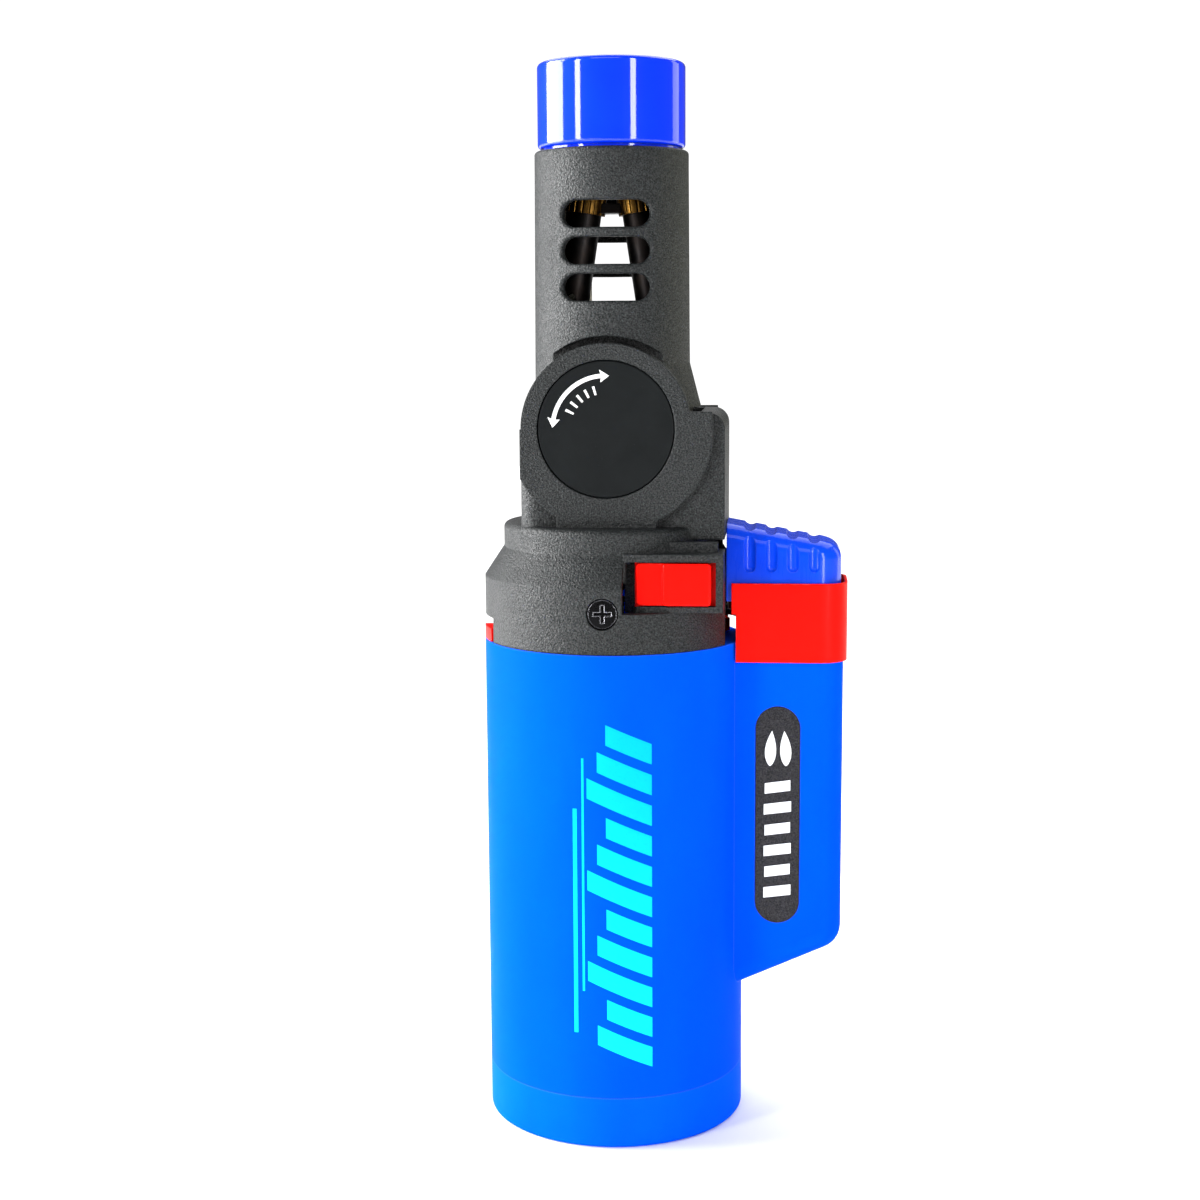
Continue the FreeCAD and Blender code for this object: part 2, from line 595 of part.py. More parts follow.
def make_trigger_cap():
    end = size("trigger_end")
    body = box(("trigger_left", "trigger_end"), ("-fin_half", "fin_half"), ("trigger_low", 90))
    lid = box((-40, 40), (-20, 20), (0, 20))
    slope = fuse_one(lid)
    slope.Placement = Placement(Vector(17.0, 0, size("thumb_high")),
                                Rotation(Vector(0, 1, 0), size("thumb_slope")))
    body = cut(body, slope)
    corner = size("fin_corner")
    body = rounded(body, corner, lambda e: along(e, "z") and close(middle(e).x, end))
    body = rounded(body, 2.4, lambda e: middle(e).z > 81.5 and not along(e, "y") and not along(e, "z")
                   or (along(e, "y") and middle(e).x > 25 and middle(e).z > 80))
    grooves = []
    for i in range(4):
        x = f"rib_first + {i} * rib_pitch"
        top = f"thumb_high - (rib_first + {i} * rib_pitch - 17) * 0.189"
        grooves.append(rod("Y", (x, f"{top} + 0.5"), (-8, 8), 0.95))
        for side in (-1, 1):
            y = side * 6.5
            grooves.append(rod("Z", (x, y), (79.6, 90), 0.95))
            grooves.append(ball(x, y, 79.6, 0.95))
    room = box((18.0, 30.6), (-4.6, 4.6), (70, 82.0))
    side_way = box((10, 18.5), (-10, 10), (70, 74.75))
    arm_way = box((10, 19), (-2.75, 2.75), (70, "arm_high + 0.02"))
    lead_way = box((15, 18.5), (2.6, 5.0), (70, 76.4))
    return cut(body, room, side_way, arm_way, lead_way, *grooves)


def make_trigger_band():
    """Red sleeve round the foot of the thumb cap; it slides down over the fin."""
    outer = box((16.85, "band_end"), ("-band_half", "band_half"), ("band_low", "band_high"))
    end = size("band_end")
    outer = rounded(outer, size("fin_corner") + 0.3, lambda e: along(e, "z") and close(middle(e).x, end))
    inner = box((10, "band_end - band_wall"), ("-fin_half - 0.1", "fin_half + 0.1"), (60, 80))
    inner_end = size("band_end") - size("band_wall")
    inner = rounded(inner, size("fin_corner") - 0.9,
                    lambda e: along(e, "z") and close(middle(e).x, inner_end))
    heel = box((10, 17.45), (-10, 10), (60, 73.0))
    return cut(outer, inner, heel)


def make_trigger_arm():
    """Moulded arm that carries the thumb cap's stroke to the gas lever and to the lock."""
    rail = box((11.4, 21.2), (-2.4, 2.6), ("arm_low", "arm_high"))
    link = box((7.0, 13.0), (-2.4, -0.6), ("arm_low", "arm_high"))
    lip = box((7.0, 9.0), (-7.0, -0.6), ("arm_low", "arm_high"))
    post = box((19.4, 21.2), (-2.4, 2.4), ("arm_low", 82.0))
    return fuse(rail, link, lip, post)


def make_piezo():
    case = cut(box((21.4, 29.6), (-2.2, 2.2), (54.6, 68.6)), box((22.3, 28.7), (-1.7, 1.7), (56, 70)))
    node("piezo_case", case)
    node("piezo_plunger", box((22.4, 28.6), (-1.6, 1.6), (62, 82.0)))
    node("trigger_spring", spring(Vector(25.5, 0, 56), 6.0, 1.2, 0.2, 6))


def make_lock_slider():
    low, high = "slider_low", "slider_high"
    pad = box(("slider_left", "slider_right"), (-15.5, -13.0), (low, high))
    thumb = box(("slider_left + 3.5", "slider_right"), (-16.1, -15), (low, high))
    face = fuse(pad, thumb)
    face = rounded(face, 0.5, lambda e: along(e, "y") and middle(e).y < -14)
    ridge = rounded(face, 0.3, lambda e: middle(e).y < -16.05)
    keeper = box((4.1, 15.2), (-14.2, -13.0), (74.95, 81.65))
    bar = box((9.3, 11.3), (-13.2, -3.5), (73.9, 75.8))
    return fuse(ridge, keeper, bar)


# ---------------------------------------------------------------- gas hose and ignition lead

def tangent_path(points):
    """Straight runs joined by tangent arcs, as large as each pair of runs allows."""
    edges, cursor, radii = [], points[0], []
    for before, corner, after in zip(points, points[1:], points[2:]):
        into, out = (corner - before).normalize(), (after - corner).normalize()
        half_turn = into.getAngle(out) / 2
        reach = 0.45 * min((corner - before).Length, (after - corner).Length)
        radii.append(reach / math.tan(half_turn))
        first, last = corner - into * reach, corner + out * reach
        bisector = (out - into).normalize()
        centre = corner + bisector * (radii[-1] / math.cos(half_turn))
        crown = centre - bisector * radii[-1]
        edges.append(Part.LineSegment(cursor, first).toShape())
        edges.append(Part.Arc(first, crown, last).toShape())
        cursor = last
    edges.append(Part.LineSegment(cursor, points[-1]).toShape())
    return Part.Wire(edges), radii


def tube_along(points, radius):
    path, radii = tangent_path([Vector(*p) for p in points])
    start = Vector(*points[0])
    heading = Vector(*points[1]) - start
    section = Part.Wire([Part.Circle(start, heading, radius).toShape()])
    tube = path.makePipeShell([section], True, False)
    return tube, path.Length, min(radii)


HOSE_ROUTE = [(0, 0, 75.8), (0, 0, 83.2), (1.2, -0.9, 90.2), (0.9, 0.7, 97.4), (0, 0, 103.0),
              (0, 0, 108.5)]
LEAD_ROUTE = [(20.75, 1.2, 56.2), (20.75, 1.5, 62.4), (20.6, 2.2, 68.4), (18.8, 3.5, 71.5),
              (14.0, 4.7, 72.1), (9.0, 6.6, 73.8), (5.6, 8.8, 76.6), (0.8, 7.5, 79.6),
              (-3.2, 4.4, 82.6), (-4.5, 4.0, 88.5), (-4.7, 4.2, 95.0), (-4.6, 4.3, 101.5),
              (-4.4, 4.5, 108.0), (-4.4, 4.6, 114.0)]


def make_lines():
    outer, hose_length, hose_bend = tube_along(HOSE_ROUTE, HOSE_RADIUS)
    inner, _, _ = tube_along(HOSE_ROUTE, HOSE_BORE)
    node("gas_hose", solid_feature(outer.cut(inner), "Hose"))
    lead, lead_length, lead_bend = tube_along(LEAD_ROUTE, WIRE_RADIUS)
    node("ignition_lead", solid_feature(lead, "Lead"))
    print(f"hose {hose_length:.1f} mm, tightest bend {hose_bend:.1f}; "
          f"lead {lead_length:.1f} mm, tightest bend {lead_bend:.1f}")


# ---------------------------------------------------------------- the whole torch

def build():
    node("tank_body", make_tank())
    node("base_cap", make_base_cap())
    node("fin_label", label_slab(0, 5.62, 6.06))
    make_fill_valve()
    make_outlet_valve()
    node("flame_adjuster", make_flame_adjuster())
    node("gas_lever", make_gas_lever())
    node("gas_lever_pin", rod("Y", ("lever_x", "lever_z"), (-6.9, 6.9), 0.58))
    make_housing()
    make_covers()
    screw = make_screw()
    node("collar_screws", group([screw, mirrored_rear(screw)]))
    make_pivot_set()
    node("head_shell", make_head_shell())
    node("head_cap", make_head_cap())
    make_burner()
    make_igniter_tip()
    node("trigger_cap", make_trigger_cap())
    node("trigger_band", make_trigger_band())
    node("trigger_arm", make_trigger_arm())
    make_piezo()
    node("lock_slider", make_lock_slider())
    make_lines()


def check_and_export():
    doc.recompute()
    failed = [o.Name for o in doc.Objects if "Invalid" in o.State or "Error" in o.State]
    for piece in nodes:
        shape = piece.Shape
        if shape.isNull() or not shape.isValid() or not shape.Solids:
            failed.append(piece.Label)
        print(f"{piece.Label:22s} solids {len(shape.Solids)} volume {shape.Volume:9.2f}")
    if failed:
        raise SystemExit("failed: " + ", ".join(failed))
    os.makedirs("parts", exist_ok=True)
    for piece in nodes:
        piece.Shape.exportStep(f"parts/{piece.Label}.step")


build()
check_and_export()
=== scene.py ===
import json
import math

import bmesh
import bpy
from mathutils import Matrix, Vector


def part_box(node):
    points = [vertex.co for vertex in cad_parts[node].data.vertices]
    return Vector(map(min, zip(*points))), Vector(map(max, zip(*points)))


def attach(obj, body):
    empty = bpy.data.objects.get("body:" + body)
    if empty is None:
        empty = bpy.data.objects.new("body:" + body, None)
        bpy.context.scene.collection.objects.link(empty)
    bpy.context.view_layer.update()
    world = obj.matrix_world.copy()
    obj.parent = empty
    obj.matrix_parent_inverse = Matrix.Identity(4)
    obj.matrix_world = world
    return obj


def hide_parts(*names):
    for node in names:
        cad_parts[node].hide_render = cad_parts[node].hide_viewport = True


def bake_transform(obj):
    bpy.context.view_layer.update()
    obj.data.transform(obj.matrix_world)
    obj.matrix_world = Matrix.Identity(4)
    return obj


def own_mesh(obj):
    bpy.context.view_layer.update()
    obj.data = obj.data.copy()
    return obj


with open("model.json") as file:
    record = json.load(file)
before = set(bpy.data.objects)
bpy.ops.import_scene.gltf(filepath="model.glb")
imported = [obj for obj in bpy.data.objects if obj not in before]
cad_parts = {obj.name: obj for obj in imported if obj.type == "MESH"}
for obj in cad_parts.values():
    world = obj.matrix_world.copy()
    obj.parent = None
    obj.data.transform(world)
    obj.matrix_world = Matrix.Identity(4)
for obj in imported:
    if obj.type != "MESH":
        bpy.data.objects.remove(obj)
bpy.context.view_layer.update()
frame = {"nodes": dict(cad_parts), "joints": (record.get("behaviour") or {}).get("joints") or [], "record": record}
NODES = frame["nodes"]
JOINTS = {joint["name"]: joint for joint in frame["joints"]}
MM = 0.001
PIVOT = Vector(JOINTS["head_pivot"]["pos_m"])


# ---------------------------------------------------------------- materials

class Surface:
    """A Principled material, with short calls for the nodes that feed it."""

    def __init__(self, name, slot_name, color, roughness, metallic=0.0, **sockets):
        self.material = bpy.data.materials.new(name)
        self.material.use_nodes = True
        self.slot_name = slot_name
        self.tree = self.material.node_tree
        self.shader = self.tree.nodes["Principled BSDF"]
        self.set("Base Color", (*color, 1.0))
        self.set("Roughness", roughness)
        self.set("Metallic", metallic)
        for socket, value in sockets.items():
            self.set(socket.replace("_", " "), value)
        self.place = self.add("ShaderNodeTexCoord").outputs["Object"]
        self.edge_normal = None
        self.tone = None

    def set(self, socket, value):
        self.shader.inputs[socket].default_value = value

    def add(self, kind, **values):
        node = self.tree.nodes.new(kind)
        for key, value in values.items():
            setattr(node, key, value)
        return node

    def link(self, source, target):
        self.tree.links.new(source, target)

    def feed(self, source, socket):
        self.link(source, self.shader.inputs[socket])

    def calc(self, operation, *terms):
        node = self.add("ShaderNodeMath", operation=operation)
        for slot_in, term in zip(node.inputs, terms):
            if isinstance(term, (int, float)):
                slot_in.default_value = term
            else:
                self.link(term, slot_in)
        return node.outputs[0]

    def noise(self, scale, detail=3.0, roughness=0.55, stretch=(1, 1, 1)):
        spread = self.add("ShaderNodeMapping")
        spread.inputs["Scale"].default_value = stretch
        self.link(self.place, spread.inputs["Vector"])
        node = self.add("ShaderNodeTexNoise")
        node.inputs["Scale"].default_value = scale
        node.inputs["Detail"].default_value = detail
        node.inputs["Roughness"].default_value = roughness
        self.link(spread.outputs[0], node.inputs["Vector"])
        return node.outputs["Fac"]

    def cells(self, scale):
        node = self.add("ShaderNodeTexVoronoi")
        node.inputs["Scale"].default_value = scale
        self.link(self.place, node.inputs["Vector"])
        return node.outputs["Distance"]

    def remap(self, source, low, high, to_low, to_high):
        node = self.add("ShaderNodeMapRange")
        for socket, value in (("From Min", low), ("From Max", high),
                              ("To Min", to_low), ("To Max", to_high)):
            node.inputs[socket].default_value = value
        self.link(source, node.inputs["Value"])
        return node.outputs[0]

    def blend(self, factor, first, second):
        """Colour mix; first and second are colours or sockets."""
        node = self.add("ShaderNodeMix", data_type="RGBA")
        self.link(factor, node.inputs["Factor"])
        for socket, value in (("A", first), ("B", second)):
            target = [s for s in node.inputs if s.name == socket and s.type == "RGBA"][0]
            if isinstance(value, tuple):
                target.default_value = (*value, 1.0)
            else:
                self.link(value, target)
        return [s for s in node.outputs if s.type == "RGBA"][0]

    def soft_edges(self, radius_mm):
        """A normal that rounds the moulded edges, and a mask that is 1 on those edges."""
        bevel = self.add("ShaderNodeBevel", samples=6)
        bevel.inputs["Radius"].default_value = radius_mm * MM
        faces = self.add("ShaderNodeNewGeometry")
        dot = self.add("ShaderNodeVectorMath", operation="DOT_PRODUCT")
        self.link(bevel.outputs[0], dot.inputs[0])
        self.link(faces.outputs["True Normal"], dot.inputs[1])
        self.edge_normal = bevel.outputs[0]
        return self.remap(dot.outputs["Value"], 0.99, 0.86, 0.0, 1.0)

    def crevices(self, reach_mm):
        """How open the surface is: 1 in the open, 0 deep in a corner; the materials use it to paint shade into
        their base colour.
        """
        node = self.add("ShaderNodeAmbientOcclusion", samples=8)
        node.inputs["Distance"].default_value = reach_mm * MM
        return node.outputs["AO"]

    def bump(self, height, depth_mm, strength=1.0):
        node = self.add("ShaderNodeBump")
        node.inputs["Strength"].default_value = strength
        node.inputs["Distance"].default_value = depth_mm * MM
        self.link(height, node.inputs["Height"])
        if self.edge_normal is not None:
            self.link(self.edge_normal, node.inputs["Normal"])
        self.edge_normal = node.outputs[0]
        self.feed(node.outputs[0], "Normal")

    def axis(self, index):
        node = self.add("ShaderNodeSeparateXYZ")
        self.link(self.place, node.inputs[0])
        return node.outputs[index]


def spark_black(name, slot_name, dark, light, grain_mm, depth_mm, edge_mm=0.25):
    """Spark-eroded black moulding: a fine pebbled grain, painted glints and worn edges in its base colour, and
    painted shade in its corners.
    """
    s = Surface(name, slot_name, dark, 0.5, Specular_IOR_Level=0.33)
    edge = s.soft_edges(edge_mm)
    painted_shade_ao = s.crevices(2.4)
    grain = s.noise(1.0 / (grain_mm * MM), 2.0, 0.6)
    pebble = s.cells(0.7 / (grain_mm * MM))
    patches = s.noise(160.0, 4.0, 0.6)
    tone = s.blend(s.remap(grain, 0.38, 0.64, 0.0, 1.0), dark, light)
    # painted glints: the brightest grain flecks are raised to 4.5 times the light tone, standing in for highlights
    painted_glint = s.remap(grain, 0.56, 0.68, 0.0, 0.6)
    tone = s.blend(painted_glint, tone, tuple(4.5 * c for c in light))
    # worn edges: paler in patches along the moulded edges
    edge_rub_and_glint = s.calc("MULTIPLY", edge, s.remap(patches, 0.35, 0.75, 0.1, 0.5))
    tone = s.blend(edge_rub_and_glint, tone, tuple(3.2 * c for c in light))
    # painted shade: the base colour drops to 0.15 of the dark tone where ambient occlusion finds corners and
    # recesses
    s.feed(s.blend(s.remap(painted_shade_ao, 0.25, 0.85, 0.85, 0.0), tone, tuple(0.15 * c for c in dark)),
           "Base Color")
    s.feed(s.calc("ADD", s.remap(patches, 0.3, 0.7, 0.40, 0.5), s.remap(grain, 0.3, 0.7, -0.05, 0.1)),
           "Roughness")
    sparkle = s.noise(1.15 / (grain_mm * MM), 1.0)
    s.feed(s.remap(sparkle, 0.36, 0.64, 0.17, 0.50), "Specular IOR Level")
    height = s.calc("ADD", grain, s.calc("MULTIPLY", pebble, 0.5))
    s.bump(height, depth_mm, 0.75)
    return s


def smooth_black(name, slot_name, color, roughness):
    """Finely matted black moulding with faint flow marks and dust."""
    s = Surface(name, slot_name, color, roughness, Specular_IOR_Level=0.12)
    edge = s.soft_edges(0.15)
    haze = s.noise(220.0, 5.0, 0.65)
    fine = s.noise(9000.0, 1.0)
    dust = s.remap(s.noise(2600.0, 2.0, 0.5), 0.74, 0.8, 0.0, 0.35)
    tone = s.blend(s.remap(haze, 0.3, 0.7, 0.0, 1.0), color, tuple(1.35 * c for c in color))
    tone = s.blend(dust, tone, tuple(6.0 * c for c in color))
    s.feed(s.blend(s.calc("MULTIPLY", edge, 0.35), tone, tuple(4.0 * c for c in color)), "Base Color")
    s.feed(s.remap(haze, 0.25, 0.75, roughness - 0.06, roughness + 0.08), "Roughness")
    s.bump(fine, 0.012, 0.5)
    return s


def gloss_plastic(name, slot_name, color, deep, roughness, coat, edge_mm=0.3, specular=0.3):
    """Glossy coloured moulding: slight orange peel, tint drift, tiny scratches on the edges."""
    s = Surface(name, slot_name, color, roughness, Specular_IOR_Level=specular,
                Coat_Weight=coat, Coat_Roughness=0.06)
    edge = s.soft_edges(edge_mm)
    drift = s.noise(70.0, 3.0)
    peel = s.noise(1400.0, 2.0, 0.4)
    scuffs = s.noise(900.0, 4.0, 0.7, stretch=(1, 1, 0.12))
    tone = s.blend(s.remap(drift, 0.3, 0.7, 0.0, 1.0), color, deep)
    scratched = s.calc("MULTIPLY", edge, s.remap(scuffs, 0.5, 0.7, 0.0, 0.3))
    pale = tuple(min(1.0, 0.6 * c + 0.25) for c in color)
    s.feed(s.blend(scratched, tone, pale), "Base Color")
    s.feed(s.calc("ADD", s.remap(scuffs, 0.45, 0.75, roughness, roughness + 0.12),
                  s.calc("MULTIPLY", edge, 0.05)), "Roughness")
    s.bump(peel, 0.006, 0.35)
    return s


def tank_plastic(name, slot_name, color, deep):
    """Translucent fuel-tank moulding: satin skin and cloudy depth, with its tone kept so that a print can be laid
    over it.
    """
    s = Surface(name, slot_name, color, 0.4, Specular_IOR_Level=0.002, Subsurface_Weight=0.2,
                Subsurface_Scale=0.004, Coat_Weight=0.0)
    s.shader.inputs["Subsurface Radius"].default_value = (0.15, 0.55, 1.0)
    edge = s.soft_edges(0.3)
    cloud = s.noise(55.0, 4.0, 0.55, stretch=(1, 1, 0.35))
    satin = s.noise(5200.0, 2.0, 0.5)
    flow = s.noise(420.0, 3.0, 0.6, stretch=(1, 1, 0.05))
    tone = s.blend(s.remap(cloud, 0.3, 0.72, 0.0, 1.0), color, deep)
    tone = s.blend(s.calc("MULTIPLY", edge, 0.35), tone, tuple(min(1.0, c * 1.2 + 0.06) for c in color))
    s.feed(tone, "Base Color")
    s.feed(s.calc("ADD", s.remap(cloud, 0.3, 0.7, 0.34, 0.44), s.remap(flow, 0.4, 0.7, 0.0, 0.06)),
           "Roughness")
    s.bump(s.calc("ADD", satin, s.calc("MULTIPLY", flow, 0.6)), 0.012, 0.5)
    s.tone = tone
    return s


def printed_bars(s, low_mm, high_mm, left_mm, right_mm):
    """Screen print: a ladder of slanting bars that change width, beside two long rules."""
    x = s.calc("DIVIDE", s.axis(0), MM)
    z = s.calc("DIVIDE", s.axis(2), MM)
    front_only = -0.012                         # m: the print lies in front of this plane
    pitch, bar, slant = 4.25, 0.66, 0.45        # mm, share of the pitch, mm up per mm across
    ladder_left, sway, sway_rate = 3.4, 1.5, 2.1    # mm, mm, radians from bar to bar
    front = s.calc("LESS_THAN", s.axis(1), front_only)
    lean = s.calc("ADD", z, s.calc("MULTIPLY", x, slant))
    steps = s.calc("DIVIDE", s.calc("SUBTRACT", lean, low_mm), pitch)
    part = s.calc("FRACT", steps)
    index = s.calc("FLOOR", steps)
    on_bar = s.calc("LESS_THAN", part, bar)
    wobble = s.calc("MULTIPLY", s.calc("SINE", s.calc("MULTIPLY", index, sway_rate)), sway)
    reach_left = s.calc("GREATER_THAN", x, s.calc("ADD", wobble, left_mm + ladder_left))
    reach_right = s.calc("LESS_THAN", x, right_mm)
    ladder = s.calc("MULTIPLY", on_bar, s.calc("MULTIPLY", reach_left, reach_right))
    inside = s.calc("MULTIPLY", s.calc("GREATER_THAN", lean, low_mm), s.calc("LESS_THAN", lean, high_mm))
    ladder = s.calc("MULTIPLY", ladder, inside)
    rules = None
    for centre, half, start, stop in ((left_mm + 0.4, 0.28, low_mm + 2, high_mm - 12),
                                      (left_mm + 1.5, 0.16, low_mm + 8, high_mm - 5)):
        near = s.calc("LESS_THAN", s.calc("ABSOLUTE", s.calc("SUBTRACT", x, centre)), half)
        span = s.calc("MULTIPLY", s.calc("GREATER_THAN", z, start), s.calc("LESS_THAN", z, stop))
        rule = s.calc("MULTIPLY", near, span)
        rules = rule if rules is None else s.calc("MAXIMUM", rules, rule)
    ink = s.calc("MULTIPLY", s.calc("MAXIMUM", ladder, rules), front)
    worn = s.calc("MULTIPLY", ink, s.remap(s.noise(2400.0, 3.0), 0.3, 0.42, 0.9, 1.0))
    shade = s.blend(s.remap(z, low_mm, high_mm, 0.0, 1.0), (0.006, 0.66, 0.96), (0.003, 0.42, 0.86))
    s.feed(s.blend(worn, s.tone, shade), "Base Color")
    s.feed(s.blend(ink, (0.4, 0.4, 0.4), (0.3, 0.3, 0.3)), "Roughness")


def metal(name, slot_name, color, tarnish, roughness, stretch=(1, 1, 1), scale=900.0, edge_rub_and_glint=1.25,
          edge_mm=0.08):
    """Machined or drawn metal: tool marks along one way, tarnish in patches, paler worn edges that a large edge
    gain turns into painted glints, and painted shade in corners.
    """
    s = Surface(name, slot_name, color, roughness, metallic=1.0)
    edge = s.soft_edges(edge_mm)
    painted_shade_ao = s.crevices(7.0)
    marks = s.noise(scale * 4, 2.0, 0.5, stretch=stretch)
    patches = s.noise(scale * 0.35, 5.0, 0.65)
    tone = s.blend(s.remap(patches, 0.35, 0.68, 0.0, 1.0), color, tarnish)
    # paler edges: worn metal at small edge gains, painted glints at large gains such as the screw's
    tone = s.blend(s.calc("MULTIPLY", edge, 0.6), tone, tuple(min(1.0, edge_rub_and_glint * c) for c in color))
    # painted shade: the base colour drops to a tenth of the tarnish colour where ambient occlusion finds corners
    # and the insides of tubes
    s.feed(s.blend(s.remap(painted_shade_ao, 0.15, 0.75, 0.85, 0.0), tone, tuple(0.1 * c for c in tarnish)),
           "Base Color")
    s.feed(s.calc("ADD", s.remap(patches, 0.3, 0.7, roughness - 0.06, roughness + 0.12),
                  s.remap(marks, 0.3, 0.7, -0.04, 0.06)), "Roughness")
    s.bump(marks, 0.006, 0.6)
    return s


def ceramic(name, slot_name):
    """Glazed ceramic with soot that dulls it in patches."""
    glaze, sooty = (0.86, 0.83, 0.76), (0.42, 0.35, 0.27)
    s = Surface(name, slot_name, glaze, 0.2, Coat_Weight=0.6, Coat_Roughness=0.05)
    soot = s.remap(s.noise(500.0, 5.0, 0.7), 0.48, 0.7, 0.0, 0.6)
    s.feed(s.blend(soot, glaze, sooty), "Base Color")
    s.feed(s.remap(soot, 0.0, 0.6, 0.16, 0.5), "Roughness")
    s.bump(s.noise(1800.0, 2.0), 0.005, 0.4)
    return s


def rubber(name, slot_name, color):
    """Dull rubber with a pale bloom."""
    s = Surface(name, slot_name, color, 0.62, Specular_IOR_Level=0.35)
    bloom = s.noise(420.0, 5.0, 0.7)
    s.feed(s.blend(s.remap(bloom, 0.35, 0.7, 0.0, 1.0), color, tuple(2.2 * c for c in color)), "Base Color")
    s.feed(s.remap(bloom, 0.3, 0.7, 0.52, 0.72), "Roughness")
    s.bump(s.noise(3600.0, 3.0, 0.6), 0.012, 0.6)
    return s


def ink(name, slot_name):
    """White pad print, a little thin where it is worn."""
    white, thin = (0.86, 0.87, 0.86), (0.35, 0.36, 0.36)
    s = Surface(name, slot_name, white, 0.45)
    rub = s.remap(s.noise(1500.0, 4.0, 0.7), 0.56, 0.74, 0.0, 0.35)
    s.feed(s.blend(rub, white, thin), "Base Color")
    s.feed(s.remap(rub, 0.0, 0.35, 0.4, 0.55), "Roughness")
    s.bump(s.noise(5000.0, 2.0), 0.004, 0.4)
    return s


tank_skin = tank_plastic("tank_blue", "blue_tank", (0.0004, 0.082, 0.90), (0.0003, 0.064, 0.84))
printed_bars(tank_skin, low_mm=14.5, high_mm=60.0, left_mm=-4.3, right_mm=6.5)
base_skin = tank_plastic("base_blue", "blue_base", (0.0008, 0.105, 0.92), (0.0006, 0.078, 0.87))
SURFACES = {
    "blue_tank": tank_skin,
    "blue_base": base_skin,
    "blue_gloss": gloss_plastic("cap_gloss_blue", "blue_gloss", (0.001, 0.034, 0.93),
                                (0.001, 0.025, 0.88), 0.3, coat=1.0, specular=0.02),
    "blue_trigger": gloss_plastic("trigger_blue", "blue_trigger", (0.002, 0.070, 0.84),
                                  (0.001, 0.040, 0.66), 0.26, coat=0.35, specular=0.06),
    "red_plastic": gloss_plastic("signal_red", "red_plastic", (0.93, 0.004, 0.001),
                                 (0.88, 0.003, 0.001), 0.38, coat=0.02, specular=0.05),
    "black_textured": spark_black("spark_black", "black_textured", (0.0022, 0.0030, 0.0034),
                                  (0.0075, 0.0095, 0.0098), grain_mm=0.24, depth_mm=0.2, edge_mm=0.35),
    "black_smooth": smooth_black("smooth_black", "black_smooth", (0.0036, 0.0046, 0.0050), 0.5),
    "label_plastic": spark_black("label_black", "label_plastic", (0.0028, 0.0026, 0.0040),
                                 (0.0075, 0.0070, 0.0095), grain_mm=0.16, depth_mm=0.05, edge_mm=0.2),
    # painted glints: the edge gain of 60 paints near-white glints along the screw's edges
    "black_screw": metal("black_oxide", "black_screw", (0.012, 0.012, 0.013), (0.004, 0.004, 0.004), 0.24,
                         edge_rub_and_glint=60.0, edge_mm=0.2),
    # painted shade: the brass base colour is held far darker than bright brass, standing in for the shadow the
    # sleeves sit in inside the head
    "brass": metal("machined_brass", "brass", (0.27, 0.14, 0.028), (0.035, 0.017, 0.005), 0.3,
                   stretch=(1, 1, 0.2)),
    "zinc": metal("cast_zinc", "zinc", (0.48, 0.48, 0.47), (0.30, 0.30, 0.29), 0.42),
    "spring_steel": metal("drawn_steel", "spring_steel", (0.58, 0.58, 0.57), (0.36, 0.35, 0.33), 0.22,
                          stretch=(1, 1, 0.15)),
    "guard_steel": metal("satin_stainless", "guard_steel", (0.56, 0.55, 0.53), (0.34, 0.29, 0.22),
                         0.3, stretch=(1, 1, 6)),
    "burner_black": metal("blackened_steel", "burner_black", (0.012, 0.012, 0.013),
                          (0.024, 0.018, 0.015), 0.38, stretch=(1, 1, 0.2)),
    "ceramic_white": ceramic("glazed_ceramic", "ceramic_white"),
    "seal_rubber": rubber("nitrile_seal", "seal_rubber", (0.016, 0.016, 0.017)),
    "hose_rubber": rubber("fuel_hose_rubber", "hose_rubber", (0.028, 0.028, 0.03)),
    "lead_jacket": smooth_black("lead_jacket", "lead_jacket", (0.02, 0.02, 0.022), 0.35),
    "wick_plastic": smooth_black("natural_plastic", "wick_plastic", (0.45, 0.44, 0.38), 0.5),
}
WHITE_INK = ink("white_ink", "label_plastic")


def dress(piece, surface):
    piece.data.materials.clear()
    piece.data.materials.append(surface.material)


for part in frame["record"]["subparts"]:
    node = NODES[part["node"]]
    surface = SURFACES[part["material_slot"]]
    if not node.material_slots:
        node.data.materials.append(surface.material)
    for material_slot in node.material_slots:
        material_slot.material = surface.material


# ---------------------------------------------------------------- pieces

def mesh_piece(name, verts, faces, surface, body, smooth=False):
    data = bpy.data.meshes.new(name)
    data.from_pydata([Vector(v) * MM for v in verts], [], faces)
    data.validate()
    piece = bpy.data.objects.new(name, data)
    bpy.context.scene.collection.objects.link(piece)
    mesh = bmesh.new()
    mesh.from_mesh(data)
    bmesh.ops.recalc_face_normals(mesh, faces=mesh.faces)
    mesh.to_mesh(data)
    mesh.free()
    for polygon in data.polygons:
        polygon.use_smooth = smooth
    dress(piece, surface)
    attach(piece, body)
    return piece


INK_LIFT = 0.02         # mm that the print stands proud of its face
INK_SINK = 0.01         # mm that it reaches into the face


def printed(name, outlines, y_mm, body):
    """Flat marks facing -Y: each outline is a closed list of (x, z), lifted off the face at y."""
    verts, faces = [], []
    for outline in outlines:
        start, count = len(verts), len(outline)
        verts += [(x, y_mm - INK_LIFT, z) for x, z in outline]
        verts += [(x, y_mm + INK_SINK, z) for x, z in outline]
        faces.append([start + i for i in range(count)])
        faces.append([start + count + i for i in reversed(range(count))])
        for i in range(count):
            j = (i + 1) % count
            faces.append([start + i, start + j, start + count + j, start + count + i])
    return mesh_piece(name, verts, faces, WHITE_INK, body)


def polar(centre, radius, degrees):
    angle = math.radians(degrees)
    return centre[0] + radius * math.cos(angle), centre[1] + radius * math.sin(angle)


